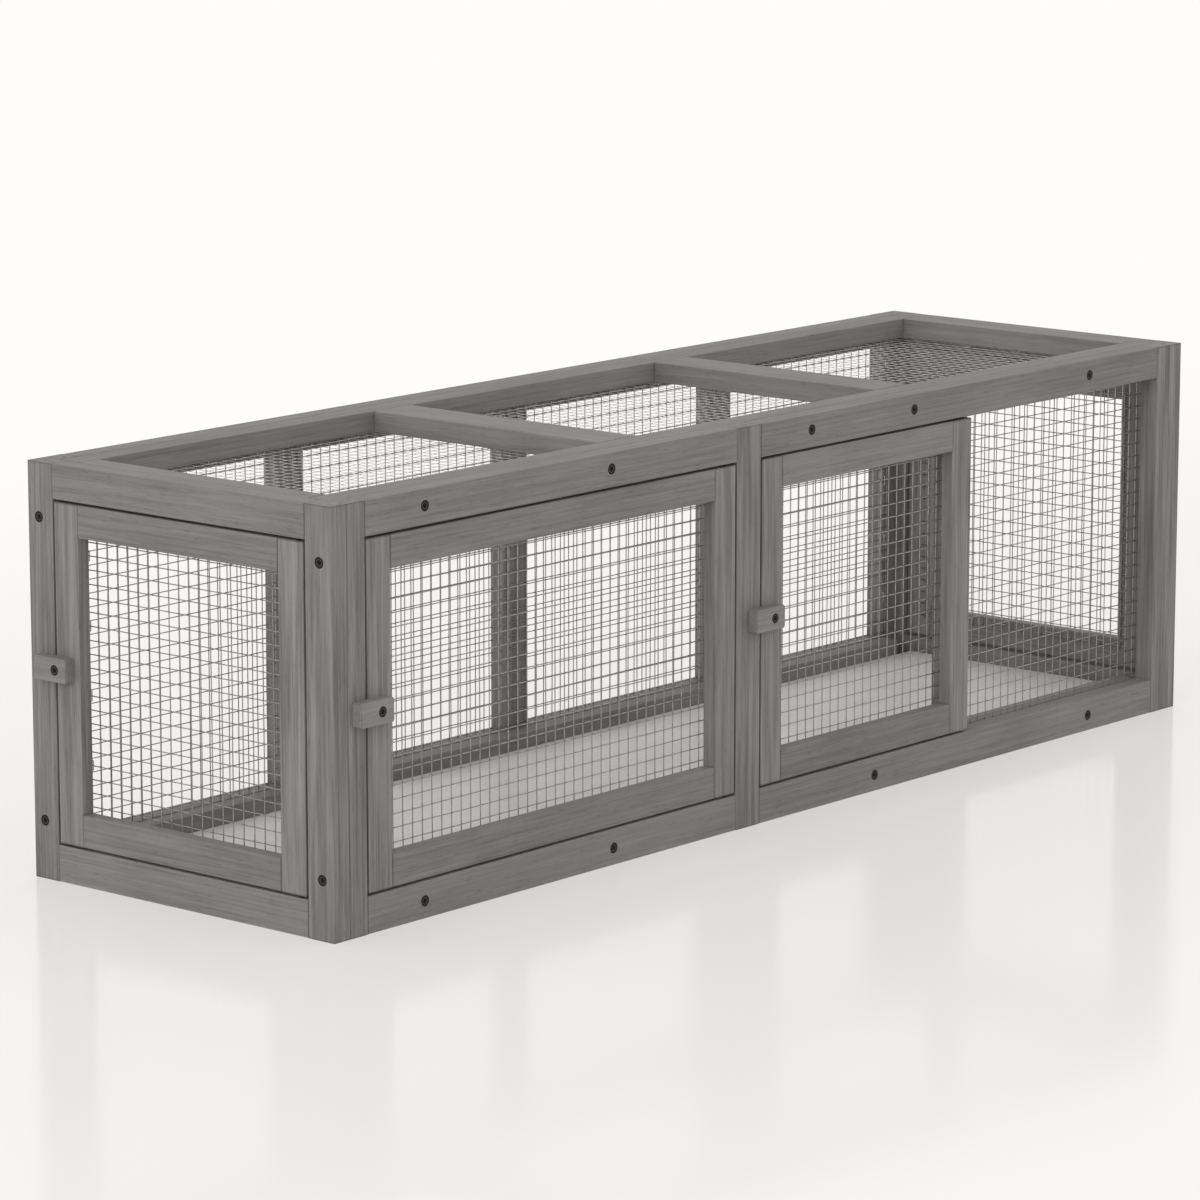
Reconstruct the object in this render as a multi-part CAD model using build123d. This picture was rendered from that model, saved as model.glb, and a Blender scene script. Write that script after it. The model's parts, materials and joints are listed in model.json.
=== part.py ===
from build123d import *
import os

os.makedirs("parts", exist_ok=True)

# A long, low wooden pet run with wire mesh: a front with two doors and a fixed mesh bay,
# a door in each end, a mesh back, a mesh roof and a thin floor board.
# Lengths are millimetres. +Z is up, the front faces -Y, and the run is longest along X.

# Overall size of the timber body
length = 1200.0
depth = 350.0
height = 360.0

# Frame timber
frame_thick = 19.0
top_rail_high = 30.0
bottom_rail_high = 32.0
end_stile_wide = 29.0
corner_stile_wide = 21.0
center_post_at = 533.0
center_post_wide = 33.0
mullion_wide = 18.0
mullion_deep = 18.0
back_mullion_wide = 31.0
back_bays = 4
edge_round = 1.0

# Roof frame, laid flat inside the top rails and flush with them
roof_thick = 19.0
roof_side_wide = 24.0
roof_end_wide = 22.0
crossbar_wide = 48.0
roof_bays = 3

# Battens behind the bottom rails
batten_thick = 19.0

# Floor board, and the bearers under it
floor_thick = 5.0
floor_top_high = 17.0
floor_clearance = 0.5
bearer_wide = 40.0
bearer_count = 4

# Doors
door_gap = 2.2
door_thick = 13.0
door_stile_wide = 28.0
door_rail_high = 28.0
front_right_door_wide = 308.0

# Door pivots: plain steel pins above and below the hinge stile
pin_radius = 2.0
pin_from_edge = 9.0
pin_from_face = 4.5
pin_in_rail = 10.0
pin_in_door = 12.0
running_clearance = 0.08

# Turn buttons, one on the latch stile of each door
button_long = 40.0
button_high = 21.0
button_thick = 9.5
button_lift = 0.4
button_head_end = 14.0
button_pivot_inset = 7.0
button_center_high = 186.0
button_corner_round = 2.5
button_face_round = 1.0

# Welded mesh and its staples
mesh_pitch = 12.0
wire_wide = 1.0
mesh_lap = 10.0
selvage = 1.0
staple_wide = 1.0
staple_span = 8.0
staple_leg = 6.0
staple_step = 5
staple_clear = 3.0

# Screws and dowels
screw_radius = 2.0
screw_long = 35.0
screw_head_radius = 4.3
screw_head_thick = 1.6
screw_sunk = 0.2
countersink = 0.5
recess_long = 4.4
recess_wide = 1.1
recess_deep = 0.9
button_screw_long = 20.0
corner_screw_in = 13.0
corner_screw_down = 47.0
corner_screw_up = 51.0
top_screw_down = 14.0
bottom_screw_up = 15.0
left_top_screws = [72.0, 307.0]
left_bottom_screws = [69.0, 310.0]
right_top_screws = [113.0, 388.0]
right_bottom_screws = [106.0, 442.0]
dowel_radius = 4.0
dowel_half = 15.0
roof_dowel_half = 12.0
seat_clearance = 0.05
button_seat_clearance = 0.1
button_head_clearance = 0.3
cut_past = 1.0

# Places worked out from the sizes
button_proud = button_lift + button_thick
left_x = -length / 2
right_x = length / 2
front_y = (button_proud - depth) / 2
back_y = front_y + depth
post_left = center_post_at - center_post_wide / 2
post_right = center_post_at + center_post_wide / 2
corner_wide = frame_thick + corner_stile_wide
mesh_thick = 2 * wire_wide
opening_top = top_rail_high
opening_bottom = height - bottom_rail_high
mid_frame = frame_thick / 2
top_rail_mid = top_rail_high / 2
bottom_rail_mid = height - bottom_rail_high / 2
front_right_door_end = post_right + door_gap + front_right_door_wide

# Each wall has its own plane: u runs left to right as seen from outside, v runs down from
# the top edge, and w runs inwards from the outer face. The roof's w runs down.
front_wall = Plane((left_x, front_y, height), x_dir=(1, 0, 0), z_dir=(0, 1, 0))
back_wall = Plane((right_x, back_y, height), x_dir=(-1, 0, 0), z_dir=(0, -1, 0))
left_wall = Plane((left_x, back_y, height), x_dir=(0, -1, 0), z_dir=(1, 0, 0))
right_wall = Plane((right_x, front_y, height), x_dir=(0, 1, 0), z_dir=(-1, 0, 0))
roof = Plane((left_x, back_y, height), x_dir=(1, 0, 0), z_dir=(0, 0, -1))

nodes = {}
cutters = []


def block(wall, u, v, w):
    """A plain box between two values of u, v and w in a wall's plane."""
    size = [high - low for low, high in (u, v, w)]
    middle = [(high + low) / 2 for low, high in (u, v, w)]
    return wall.location * Pos(*middle) * Box(*size)


def plank(wall, u, v, w, rounding=edge_round):
    """A sawn board: a box whose four long edges are eased."""
    size = [high - low for low, high in (u, v, w)]
    middle = [(high + low) / 2 for low, high in (u, v, w)]
    board = Box(*size)
    grain = (Axis.X, Axis.Y, Axis.Z)[size.index(max(size))]
    board = fillet(board.edges().filter_by(grain), rounding)
    return wall.location * Pos(*middle) * board


def rod(wall, start, direction, reach, radius):
    """A round bar from a point in a wall's plane, along one of its directions."""
    bar = Cylinder(radius, reach, align=(Align.CENTER, Align.CENTER, Align.MIN))
    return wall.location * Plane(start, z_dir=direction).location * bar


def touches(first, second):
    """Whether the boxes around two shapes meet."""
    one = first.bounding_box()
    two = second.bounding_box()
    lows = (two.min.X - one.max.X, two.min.Y - one.max.Y, two.min.Z - one.max.Z)
    highs = (one.min.X - two.max.X, one.min.Y - two.max.Y, one.min.Z - two.max.Z)
    return max(lows + highs) < 0


def drilled(board):
    """A board with the holes of every fastener that reaches it."""
    for cutter in cutters:
        if touches(board, cutter):
            board = board - cutter
    return board


# Fasteners

def screw(wall, u, v, w, reach):
    """A black screw with a cross recess; its head's top lies at w, and it points inwards."""
    head = Cylinder(screw_head_radius, screw_head_thick, align=(Align.CENTER, Align.CENTER, Align.MIN))
    shank = Cylinder(screw_radius, reach, align=(Align.CENTER, Align.CENTER, Align.MIN))
    slot = Box(recess_long, recess_wide, 2 * recess_deep)
    body = head + shank - slot - Rot(0, 0, 90) * slot
    return wall.location * Pos(u, v, w) * body


def screw_hole(wall, u, v, w, reach):
    """The hole that a screw sits in, with a round seat for its head and a chamfered mouth."""
    seat_radius = screw_head_radius + seat_clearance
    seat = Cylinder(seat_radius, 2 * (screw_sunk + screw_head_thick))
    mouth = Cone(seat_radius + 2 * countersink, seat_radius, 2 * countersink)
    bore = Cylinder(
        screw_radius + seat_clearance,
        reach + seat_clearance,
        align=(Align.CENTER, Align.CENTER, Align.MIN),
    )
    return wall.location * (Pos(u, v, w - screw_sunk) * (seat + mouth) + Pos(u, v, w) * bore)


frame_screws = []


def frame_screw(wall, u, v):
    """A screw through a wall's face, and the hole for it."""
    frame_screws.append(screw(wall, u, v, screw_sunk, screw_long))
    cutters.append(screw_hole(wall, u, v, screw_sunk, screw_long))


frame_dowels = []


def dowel(wall, middle, direction, half):
    """A wooden dowel across a joint, and the hole for it."""
    start = [m - d * half for m, d in zip(middle, direction)]
    hole_start = [s - d * seat_clearance for s, d in zip(start, direction)]
    hole_reach = 2 * (half + seat_clearance)
    frame_dowels.append(rod(wall, start, direction, 2 * half, dowel_radius))
    cutters.append(rod(wall, hole_start, direction, hole_reach, dowel_radius + seat_clearance))


hinge_pins = []


def hinge_pin(wall, u, v, down):
    """A steel pivot pin from a rail's edge at v into the door, and its hole in the rail."""
    start = v - pin_in_rail * down
    reach = pin_in_rail + door_gap + pin_in_door
    direction = (0, down, 0)
    hole_start = (u, start - seat_clearance * down, pin_from_face)
    hole_reach = pin_in_rail + 2 * seat_clearance
    hinge_pins.append(rod(wall, (u, start, pin_from_face), direction, reach, pin_radius))
    cutters.append(rod(wall, hole_start, direction, hole_reach, pin_radius + seat_clearance))


# Welded mesh

def wire_places(low, high):
    """Evenly pitched wire centres, centred between two edges of a sheet."""
    gaps = int((high - low - 2 * selvage) // mesh_pitch)
    first = (low + high - gaps * mesh_pitch) / 2
    return [first + index * mesh_pitch for index in range(gaps + 1)]


def staple_inset(low, first):
    """How far a staple sits from a sheet's edge, clear of the wire beside it."""
    margin = first - low
    if margin + staple_clear + staple_wide < mesh_lap:
        return margin + staple_clear
    return margin - staple_clear


def staple(wall, u, v, w, along_u):
    """A staple whose crown lies at w, along u or along v, with its legs in the wood."""
    half = staple_span / 2
    outer = half + staple_wide
    crown = (w, w + staple_wide)
    leg = (w - staple_leg, w + staple_wide)
    edge = staple_wide / 2
    if along_u:
        pieces = [block(wall, (u - outer, u + outer), (v - edge, v + edge), crown)]
        pieces.append(block(wall, (u - outer, u - half), (v - edge, v + edge), leg))
        pieces.append(block(wall, (u + half, u + outer), (v - edge, v + edge), leg))
    else:
        pieces = [block(wall, (u - edge, u + edge), (v - outer, v + outer), crown)]
        pieces.append(block(wall, (u - edge, u + edge), (v - outer, v - half), leg))
        pieces.append(block(wall, (u - edge, u + edge), (v + half, v + outer), leg))
    return pieces[0] + pieces[1] + pieces[2]


def mesh_panel(wall, u, v, w, sides="lrtb"):
    """A sheet of welded mesh lapped onto the wood around an opening, and its staples."""
    u_low, u_high = u[0] - mesh_lap, u[1] + mesh_lap
    v_low, v_high = v[0] - mesh_lap, v[1] + mesh_lap
    columns = wire_places(u_low, u_high)
    rows = wire_places(v_low, v_high)
    half = wire_wide / 2
    across = (w, w + wire_wide)
    upright = (w + wire_wide, w + mesh_thick)
    wires = [block(wall, (u_low, u_high), (row - half, row + half), across) for row in rows]
    wires += [block(wall, (col - half, col + half), (v_low, v_high), upright) for col in columns]
    side_inset = staple_inset(u_low, columns[0])
    end_inset = staple_inset(v_low, rows[0])
    staples = []
    for row in rows[2:-1:staple_step]:
        if "l" in sides:
            staples.append(staple(wall, u_low + side_inset, row, w + wire_wide, False))
        if "r" in sides:
            staples.append(staple(wall, u_high - side_inset, row, w + wire_wide, False))
    for column in columns[2:-1:staple_step]:
        if "t" in sides:
            staples.append(staple(wall, column, v_low + end_inset, w + mesh_thick, True))
        if "b" in sides:
            staples.append(staple(wall, column, v_high - end_inset, w + mesh_thick, True))
    return wires, staples


# Doors

def door(name, wall, u_low, u_high, hinge_right):
    """A framed mesh door between two values of u, with its pivots and turn button."""
    v_low = opening_top + door_gap
    v_high = opening_bottom - door_gap
    thick = (0, door_thick)
    inner_low = u_low + door_stile_wide
    inner_high = u_high - door_stile_wide
    hinge_u = u_high - pin_from_edge if hinge_right else u_low + pin_from_edge
    latch_u = u_low + button_pivot_inset if hinge_right else u_high - button_pivot_inset
    latch_v = height - button_center_high
    toward_door = 1 if hinge_right else -1

    hinge_pin(wall, hinge_u, opening_top, 1)
    hinge_pin(wall, hinge_u, opening_bottom, -1)
    bores = []
    for start, down in ((v_low, 1), (v_high, -1)):
        mouth = (hinge_u, start - door_gap * down, pin_from_face)
        reach = door_gap + pin_in_door + running_clearance
        bores.append(rod(wall, mouth, (0, down, 0), reach, pin_radius + running_clearance))

    screw_top = -button_proud
    reach = button_screw_long
    latch_screw = screw(wall, latch_u, latch_v, screw_top, reach)
    pilot_start = (latch_u, latch_v, -cut_past)
    pilot_reach = reach + screw_top + cut_past
    pilot = rod(wall, pilot_start, (0, 0, 1), pilot_reach, screw_radius + seat_clearance)
    head_end = latch_u + toward_door * button_head_end
    tail_end = head_end - toward_door * button_long
    button_u = (min(head_end, tail_end), max(head_end, tail_end))
    button_v = (latch_v - button_high / 2, latch_v + button_high / 2)
    button = Box(button_long, button_high, button_thick)
    button = fillet(button.edges().filter_by(Axis.Z), button_corner_round)
    button = fillet(button.faces().sort_by(Axis.Z)[0].edges(), button_face_round)
    middle = (sum(button_u) / 2, sum(button_v) / 2, -button_lift - button_thick / 2)
    button = wall.location * Pos(*middle) * button
    through = (latch_u, latch_v, screw_top - cut_past)
    bore_reach = button_thick + 2 * cut_past
    button -= rod(wall, through, (0, 0, 1), bore_reach, screw_radius + running_clearance)
    seat_reach = cut_past + screw_head_thick + button_seat_clearance
    button -= rod(wall, through, (0, 0, 1), seat_reach, screw_head_radius + button_head_clearance)

    left_stile = plank(wall, (u_low, inner_low), (v_low, v_high), thick)
    right_stile = plank(wall, (inner_high, u_high), (v_low, v_high), thick)
    for bore in bores + [pilot]:
        left_stile = left_stile - bore if touches(left_stile, bore) else left_stile
        right_stile = right_stile - bore if touches(right_stile, bore) else right_stile
    inside_v = (v_low + door_rail_high, v_high - door_rail_high)
    wires, staples = mesh_panel(wall, (inner_low, inner_high), inside_v, door_thick)
    nodes[name + "_hinge_stile"] = right_stile if hinge_right else left_stile
    nodes[name + "_latch_stile"] = left_stile if hinge_right else right_stile
    nodes[name + "_top_rail"] = plank(wall, (inner_low, inner_high), (v_low, inside_v[0]), thick)
    nodes[name + "_bottom_rail"] = plank(wall, (inner_low, inner_high), (inside_v[1], v_high), thick)
    nodes[name + "_mesh"] = wires
    nodes[name + "_fasteners"] = staples + [latch_screw]
    nodes[name + "_turn_button"] = button


def end_door(name, wall, hinge_right):
    """The door that fills an end frame."""
    low = end_stile_wide + door_gap
    door(name, wall, low, depth - low, hinge_right)


end_door("left_end_door", left_wall, True)
end_door("right_end_door", right_wall, False)
door("front_left_door", front_wall, corner_wide + door_gap, post_left - door_gap, True)
door("front_right_door", front_wall, post_right + door_gap, front_right_door_end, True)


# Screws through the frame

for wall in (left_wall, right_wall):
    for u in (corner_screw_in, depth - corner_screw_in):
        for v in (corner_screw_down, height - corner_screw_up):
            frame_screw(wall, u, v)

top_places = [corner_wide + step for step in left_top_screws] + [post_right + left_top_screws[0]]
top_places += [length - corner_wide - step for step in right_top_screws]
bottom_places = [corner_wide + step for step in left_bottom_screws]
bottom_places += [length - corner_wide - step for step in right_bottom_screws]
for x in top_places:
    frame_screw(front_wall, x, top_screw_down)
    frame_screw(back_wall, length - x, top_screw_down)
for x in bottom_places:
    frame_screw(front_wall, x, height - bottom_screw_up)
    frame_screw(back_wall, length - x, height - bottom_screw_up)

# Dowels in the frame's joints

for v in (top_rail_mid, bottom_rail_mid):
    for u in (end_stile_wide, depth - end_stile_wide):
        dowel(left_wall, (u, v, mid_frame), (1, 0, 0), dowel_half)
        dowel(right_wall, (u, v, mid_frame), (1, 0, 0), dowel_half)
    for u in (corner_wide, post_left, post_right, length - corner_wide):
        dowel(front_wall, (u, v, mid_frame), (1, 0, 0), dowel_half)
    for u in (corner_wide, length - corner_wide):
        dowel(back_wall, (u, v, mid_frame), (1, 0, 0), dowel_half)

mullion_places = [length * index / back_bays for index in range(1, back_bays)]
for u in mullion_places:
    for v in (opening_top, opening_bottom):
        dowel(back_wall, (u, v, mid_frame), (0, 1, 0), dowel_half)

roof_inner_low = frame_thick + roof_side_wide
roof_inner_high = depth - roof_inner_low
roof_end_in = frame_thick + roof_end_wide
roof_bay = (length - 2 * roof_end_in - (roof_bays - 1) * crossbar_wide) / roof_bays
crossbars = []
for index in range(1, roof_bays):
    start = roof_end_in + index * roof_bay + (index - 1) * crossbar_wide
    crossbars.append((start, start + crossbar_wide))
roof_end_boards = [(frame_thick, roof_end_in), (length - roof_end_in, length - frame_thick)]
for low, high in roof_end_boards + crossbars:
    for v in (roof_inner_low, roof_inner_high):
        dowel(roof, ((low + high) / 2, v, roof_thick / 2), (0, 1, 0), roof_dowel_half)


# End frames

full = (0, height)
thick = (0, frame_thick)
top_high = (0, top_rail_high)
bottom_high = (opening_bottom, height)
for side, wall, front_first in (("left", left_wall, False), ("right", right_wall, True)):
    near = (0, end_stile_wide)
    far = (depth - end_stile_wide, depth)
    front_u, back_u = (near, far) if front_first else (far, near)
    between = (end_stile_wide, depth - end_stile_wide)
    nodes[side + "_end_front_stile"] = drilled(plank(wall, front_u, full, thick))
    nodes[side + "_end_back_stile"] = drilled(plank(wall, back_u, full, thick))
    nodes[side + "_end_top_rail"] = drilled(plank(wall, between, top_high, thick))
    nodes[side + "_end_bottom_rail"] = drilled(plank(wall, between, bottom_high, thick))

# Front frame

corner_low = (frame_thick, corner_wide)
corner_high = (length - corner_wide, length - frame_thick)
bay_left = (corner_wide, post_left)
bay_right = (post_right, length - corner_wide)
corner_u = (corner_low, corner_high)
nodes["front_corner_stiles"] = [drilled(plank(front_wall, u, full, thick)) for u in corner_u]
nodes["front_center_post"] = drilled(plank(front_wall, (post_left, post_right), full, thick))
nodes["front_left_top_rail"] = drilled(plank(front_wall, bay_left, top_high, thick))
nodes["front_right_top_rail"] = drilled(plank(front_wall, bay_right, top_high, thick))
nodes["front_left_bottom_rail"] = drilled(plank(front_wall, bay_left, bottom_high, thick))
nodes["front_right_bottom_rail"] = drilled(plank(front_wall, bay_right, bottom_high, thick))

# The fixed mesh bay beside the right door, with an upright behind the door's hinge stile
mullion_low = front_right_door_end - mesh_lap + door_gap
mullion_high = mullion_low + mullion_wide
bay_start = mullion_low + mesh_lap + selvage
fixed_u = (bay_start, length - corner_wide)
fixed_v = (opening_top, opening_bottom)
wires, fixed_staples = mesh_panel(front_wall, fixed_u, fixed_v, frame_thick, "rt")
nodes["front_fixed_mesh"] = wires
rebate_u = (mullion_low - cut_past, mullion_high + cut_past)
rebate_v = (opening_top - mesh_lap - cut_past, opening_bottom + mesh_lap)
mullion_w = (frame_thick, frame_thick + mullion_deep)
rebate_w = (frame_thick - cut_past, frame_thick + mesh_thick)
mullion_v = (roof_thick + mesh_thick, height)
mullion = plank(front_wall, (mullion_low, mullion_high), mullion_v, mullion_w)
nodes["front_mullion"] = mullion - block(front_wall, rebate_u, rebate_v, rebate_w)

# Back frame

back_bay = (corner_wide, length - corner_wide)
half_mullion = back_mullion_wide / 2
nodes["back_corner_stiles"] = [drilled(plank(back_wall, u, full, thick)) for u in corner_u]
nodes["back_top_rail"] = drilled(plank(back_wall, back_bay, top_high, thick))
nodes["back_bottom_rail"] = drilled(plank(back_wall, back_bay, bottom_high, thick))
nodes["back_mullions"] = [
    drilled(plank(back_wall, (u - half_mullion, u + half_mullion), fixed_v, thick))
    for u in mullion_places
]
wires, back_staples = mesh_panel(back_wall, back_bay, fixed_v, frame_thick, "lrt")
nodes["back_mesh"] = wires

# Battens that back the bottom rails; the mesh is pinched behind the rail where there is any
bare_w = (frame_thick, frame_thick + batten_thick)
mesh_w = (frame_thick + mesh_thick, frame_thick + mesh_thick + batten_thick)
battens = [
    drilled(plank(front_wall, (corner_wide, mullion_low), bottom_high, bare_w)),
    drilled(plank(front_wall, (mullion_high, length - corner_wide), bottom_high, mesh_w)),
    drilled(plank(back_wall, back_bay, bottom_high, mesh_w)),
]

# Floor board, let in between the battens, on bearers that cross from batten to batten

batten_in = frame_thick + mesh_thick + batten_thick
floor_top = height - floor_top_high
floor_under = floor_top + floor_thick
bearer_v = (batten_in, depth - batten_in)
board_u = (frame_thick + floor_clearance, length - frame_thick - floor_clearance)
board_v = (batten_in + floor_clearance, depth - batten_in - floor_clearance)
nodes["floor_board"] = block(roof, board_u, board_v, (floor_top, floor_under))
bearer_places = [length * (index + 1 / 2) / bearer_count for index in range(bearer_count)]
bearers = [
    plank(roof, (u - bearer_wide / 2, u + bearer_wide / 2), bearer_v, (floor_under, height))
    for u in bearer_places
]
nodes["base_battens"] = battens + bearers

# Roof frame and roof mesh

roof_w = (0, roof_thick)
roof_long = (frame_thick, length - frame_thick)
roof_between = (roof_inner_low, roof_inner_high)
roof_front_v = (roof_inner_high, depth - frame_thick)
roof_back_v = (frame_thick, roof_inner_low)
nodes["roof_front_board"] = drilled(plank(roof, roof_long, roof_front_v, roof_w))
nodes["roof_back_board"] = drilled(plank(roof, roof_long, roof_back_v, roof_w))
nodes["roof_end_boards"] = [drilled(plank(roof, u, roof_between, roof_w)) for u in roof_end_boards]
nodes["roof_crossbars"] = [drilled(plank(roof, u, roof_between, roof_w)) for u in crossbars]
roof_opening = (roof_end_in, length - roof_end_in)
wires, roof_staples = mesh_panel(roof, roof_opening, roof_between, roof_thick)
nodes["roof_mesh"] = wires

nodes["frame_staples"] = fixed_staples + back_staples + roof_staples
nodes["frame_screws"] = frame_screws
nodes["frame_dowels"] = frame_dowels
nodes["hinge_pins"] = hinge_pins

for name, shape in nodes.items():
    if isinstance(shape, list):
        shape = Compound(children=[solid for item in shape for solid in item.solids()])
    export_step(shape, "parts/" + name + ".step")
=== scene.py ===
import json
import math

import bpy
import numpy as np
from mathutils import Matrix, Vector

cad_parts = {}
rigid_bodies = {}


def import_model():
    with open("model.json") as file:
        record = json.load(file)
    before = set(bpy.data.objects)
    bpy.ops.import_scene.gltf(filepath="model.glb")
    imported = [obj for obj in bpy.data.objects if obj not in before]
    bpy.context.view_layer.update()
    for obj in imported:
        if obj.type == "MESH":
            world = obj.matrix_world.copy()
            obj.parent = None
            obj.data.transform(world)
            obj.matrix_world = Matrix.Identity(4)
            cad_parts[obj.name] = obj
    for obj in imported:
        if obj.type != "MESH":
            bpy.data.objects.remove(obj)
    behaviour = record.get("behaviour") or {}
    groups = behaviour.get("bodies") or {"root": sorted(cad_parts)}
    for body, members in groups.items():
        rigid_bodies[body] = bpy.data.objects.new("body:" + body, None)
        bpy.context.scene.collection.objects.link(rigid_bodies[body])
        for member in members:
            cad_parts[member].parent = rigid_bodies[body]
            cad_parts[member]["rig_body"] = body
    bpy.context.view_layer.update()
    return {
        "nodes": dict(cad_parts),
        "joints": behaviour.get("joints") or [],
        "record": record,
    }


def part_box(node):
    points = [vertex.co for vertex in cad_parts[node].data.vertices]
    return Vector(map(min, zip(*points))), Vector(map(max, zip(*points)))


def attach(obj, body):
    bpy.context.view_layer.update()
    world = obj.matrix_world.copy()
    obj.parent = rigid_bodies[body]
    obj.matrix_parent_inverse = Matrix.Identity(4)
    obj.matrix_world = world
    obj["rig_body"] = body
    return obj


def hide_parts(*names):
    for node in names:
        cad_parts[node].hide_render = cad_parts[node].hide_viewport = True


bl_info = {
    "name": "Timber Pet Run Finishes",
    "version": (1, 0, 0),
    "blender": (4, 5, 0),
    "location": "3D View > Sidebar > Pet Run",
    "description": "Finishes, wire mesh, screws and stage for a long, low timber pet run",
    "category": "Object",
}

for leftover in list(bpy.data.objects):
    bpy.data.objects.remove(leftover)

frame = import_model()

# Each wall's own directions: u to the right as seen from outside, v down, w inwards.
# The roof's v runs towards the front and its w runs down.
WALLS = {
    "front": ((1, 0, 0), (0, 0, -1), (0, 1, 0)),
    "back": ((-1, 0, 0), (0, 0, -1), (0, -1, 0)),
    "left": ((0, -1, 0), (0, 0, -1), (1, 0, 0)),
    "right": ((0, 1, 0), (0, 0, -1), (-1, 0, 0)),
    "roof": ((1, 0, 0), (0, -1, 0), (0, 0, -1)),
}

# Each sheet of mesh: its wall, the sides that are stapled, and how far it bellies inwards
SHEETS = {
    "left_end_door_mesh": ("left", "lrtb", 0.0003),
    "right_end_door_mesh": ("right", "lrtb", 0.0003),
    "front_left_door_mesh": ("front", "lrtb", 0.0004),
    "front_right_door_mesh": ("front", "lrtb", 0.0003),
    "front_fixed_mesh": ("front", "rt", 0.0004),
    "back_mesh": ("back", "lrt", 0.0004),
    "roof_mesh": ("roof", "lrtb", 0.0009),
}
DOORS = {
    "left_end_door": "left",
    "right_end_door": "right",
    "front_left_door": "front",
    "front_right_door": "front",
}

# Sizes in the next five groups are in millimetres; MM is one of them in metres
MM = 0.001
PER_METRE = 1000

# A screw head: the rows of points on its face, the rounding of its rim as steps in from the rim
# with their heights, and the shank and point below it
FACE_ROWS = (0, 0.35, 0.7, 1.1, 1.5, 1.9, 2.2, 2.5, 2.8, 3.2)
RIM_STEPS = ((0.4, 0), (0.12, -0.05), (0, -0.22), (0, -1.2), (0.3, -1.55))
SHANK_RADIUS, SHANK_TOP, POINT_LONG = 2.0, -1.6, 3

# The driver's recess: a dish and a cross, each with its depth, its end and the width of its edge
DISH_DEEP, DISH_END, DISH_EDGE = 0.25, 2.6, 0.5
CROSS_DEEP, CROSS_END, CROSS_EDGE = 0.9, 2.3, 0.7
ARM_WIDTH, ARM_SLOPE = 1.7, 0.42
FACE_SLACK = 0.01

# The paler ring on a head, as wear and as a painted sheen on the dish's lip: its middle, how fast it
# fades, how strong it is and how far down it goes
WORN_MIDDLE, WORN_FADE, WORN_PEAK, WORN_DOWN = 2.75, 0.35, 1.4, 0.3

# The frame's screws, along u and v from a wall's top left corner as seen from outside
TIMBER_LENGTH = 1200
TOP_SCREWS_U, TOP_SCREWS_V = (112, 347, 621.5, 772, 1047), 14
BOTTOM_SCREWS_U, BOTTOM_SCREWS_V = (109, 350, 718, 1054), 345
END_SCREWS = [(u, v) for u in (13, 337) for v in (47, 309)]
FRONT_SCREWS = [(u, TOP_SCREWS_V) for u in TOP_SCREWS_U]
FRONT_SCREWS += [(u, BOTTOM_SCREWS_V) for u in BOTTOM_SCREWS_U]
BACK_SCREWS = [(TIMBER_LENGTH - u, v) for u, v in FRONT_SCREWS]

# The skin of painted shade on a seat's chamfer
SKIN = 0.03

# Points round a wire or a staple, and round a screw; edges sharper than this many degrees stay sharp
WIRE_SIDES, SCREW_SIDES, SHARP_OVER = 6, 32, 40

# A wire's sway: its two wavelengths in metres, the second's share, and the least and most sway
SLOW_WAVE, FAST_WAVE, FAST_SHARE = 0.31, 0.083, 0.4
SWAY_RANGE = (0.3, 1.0)

# A layer's distance from its sheet's middle in wires: under a half, so that crossed wires bite
LAYER_LEVEL = 0.48

# Slack in counting whole pitches
PITCH_SLACK = 1e-6

# A staple's bend in half wires: where it starts below the corner, turns, and ends along the crown
BEND_START, BEND_MIDDLE, BEND_END = 0.8, 0.6, 1.6

# The first wire that carries a staple
FIRST_STAPLE = 2

# Each board's own grain: seeds, how far its pattern is shifted in metres, and how far its tone
# strays; the turn buttons are paler by a step
BOARD_SEED, WIRE_SEED = 11, 23
GRAIN_SHIFT, TONE_STRAY, BUTTON_TONE = 0.05, 0.07, 0.12


# Shapes

def reach(node, wall):
    """The lowest and highest u, v and w of a CAD node: its box's corners times the wall's directions."""
    corners = np.array([list(corner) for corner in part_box(node)])
    return np.sort(corners @ np.array(WALLS[wall], float).T, axis=0).T


def body_of(node):
    """The name of the body that a CAD node moves with."""
    return frame["nodes"][node]["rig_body"]


def wire_places(low, high, pitch, selvage):
    """Wire centres: as many whole pitches as fit between two edges, centred between them."""
    gaps = math.floor((high - low - 2 * selvage) / pitch + PITCH_SLACK)
    return (low + high - gaps * pitch) / 2 + pitch * np.arange(gaps + 1)


def stations(low, high, crossings):
    """Places along a wire: its two ends, every crossing, and halfway between the crossings."""
    halfway = (crossings[1:] + crossings[:-1]) / 2
    return np.sort(np.concatenate([[low, high], crossings, halfway]))


def tube_faces(count, along, sides):
    """Faces of count tubes with along rings of sides points each, and a flat cap on both ends."""
    ring = np.arange(sides)
    after = (ring + 1) % sides
    step = np.arange(along - 1)[:, None] * sides
    quads = np.stack([step + ring, step + after, step + after + sides, step + ring + sides], -1)
    starts = np.arange(count)[:, None, None, None] * along * sides
    walls = (starts + quads[None]).reshape(-1, 4).tolist()
    first = np.arange(count)[:, None] * along * sides
    caps = (first + ring[::-1]).tolist() + (first + (along - 1) * sides + ring).tolist()
    return walls + caps


def tubes(paths, side, other, radius, sides):
    """Round bars: each path point plus radius times the cosine of an angle along one side
    direction and its sine along the other. The two directions' cross product runs along the path."""
    angle = 2 * math.pi * np.arange(sides) / sides
    ring = radius * (np.cos(angle)[:, None] * side + np.sin(angle)[:, None] * other)
    return paths[:, :, None, :] + ring


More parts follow.
